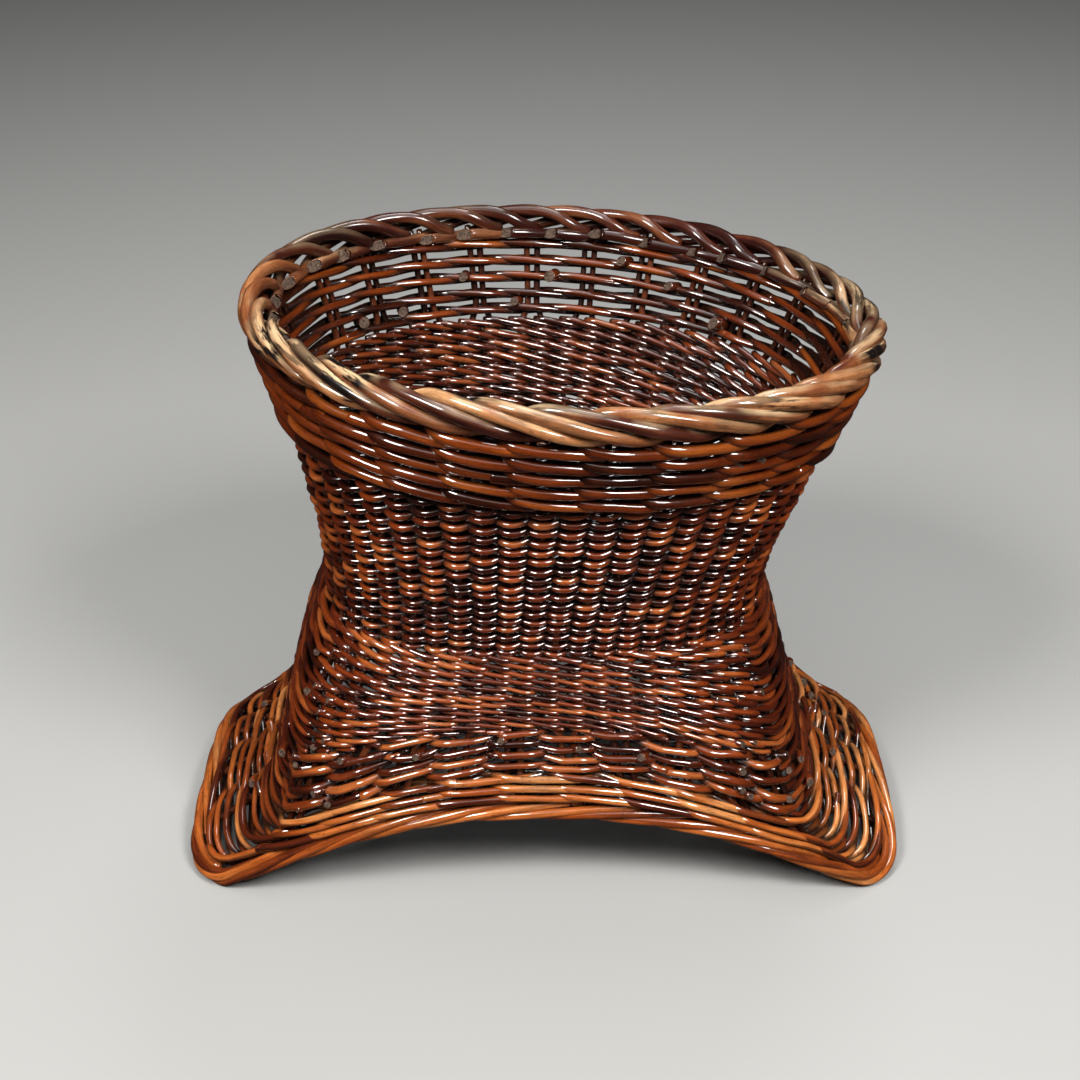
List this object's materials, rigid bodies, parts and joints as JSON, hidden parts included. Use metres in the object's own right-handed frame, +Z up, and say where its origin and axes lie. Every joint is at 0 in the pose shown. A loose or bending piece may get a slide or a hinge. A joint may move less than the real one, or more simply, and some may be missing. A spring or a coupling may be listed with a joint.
{
  "type": "wicker basket",
  "caption": "Waisted wicker basket: oval flared bowl woven on upright stakes above a floor at the waist, on a flared arched foot that stands on toes.",
  "frame": {"origin": "on the ground under the middle of the basket's bounding box", "axes": "+X along the long side of the mouth and foot, +Y from front to back, +Z up"},
  "size_m": [0.4452, 0.3038, 0.354],
  "materials": {
    "willow_stake": "dark varnished willow rod",
    "willow_rim": "varnish worn to tan and grey on top",
    "willow_wale": "glossy varnished willow",
    "willow_weave": "glossy dark reddish willow",
    "willow_skirt": "glossy orange-brown willow",
    "willow_foot": "varnished orange-brown willow, worn",
    "willow_floor": "unvarnished willow"
  },
  "bodies": {
    "root": {"corner_stake_front_left": "willow_stake", "front_stake_01": "willow_stake", "front_stake_02": "willow_stake", "front_stake_03": "willow_stake", "front_stake_04": "willow_stake", "front_stake_05": "willow_stake", "front_stake_06": "willow_stake", "front_stake_07": "willow_stake", "front_stake_08": "willow_stake", "front_stake_09": "willow_stake", "front_stake_10": "willow_stake", "front_stake_11": "willow_stake", "front_stake_12": "willow_stake", "front_stake_13": "willow_stake", "front_stake_14": "willow_stake", "corner_stake_front_right": "willow_stake", "right_stake_1": "willow_stake", "right_stake_2": "willow_stake", "right_stake_3": "willow_stake", "right_stake_4": "willow_stake", "corner_stake_back_right": "willow_stake", "back_stake_01": "willow_stake", "back_stake_02": "willow_stake", "back_stake_03": "willow_stake", "back_stake_04": "willow_stake", "back_stake_05": "willow_stake", "back_stake_06": "willow_stake", "back_stake_07": "willow_stake", "back_stake_08": "willow_stake", "back_stake_09": "willow_stake", "back_stake_10": "willow_stake", "back_stake_11": "willow_stake", "back_stake_12": "willow_stake", "corner_stake_back_left": "willow_stake", "left_stake_1": "willow_stake", "left_stake_2": "willow_stake", "left_stake_3": "willow_stake", "left_stake_4": "willow_stake", "rim_border": "willow_rim", "upper_wale_top": "willow_wale", "upper_wale_middle": "willow_wale", "upper_wale_bottom": "willow_wale", "bowl_weave_1": "willow_weave", "bowl_weave_2": "willow_weave", "bowl_weave_3": "willow_weave", "bowl_weave_4": "willow_weave", "foot_weave_1": "willow_weave", "foot_weave_2": "willow_weave", "skirt_weave_1": "willow_skirt", "skirt_weave_2": "willow_skirt", "foot_wale_1": "willow_foot", "foot_wale_2": "willow_foot", "foot_border": "willow_foot", "floor_weave": "willow_floor", "floor_stick_1": "willow_floor", "floor_stick_2": "willow_floor", "floor_stick_3": "willow_floor", "floor_stick_4": "willow_floor", "floor_stick_5": "willow_floor"}
  },
  "joints": []
}
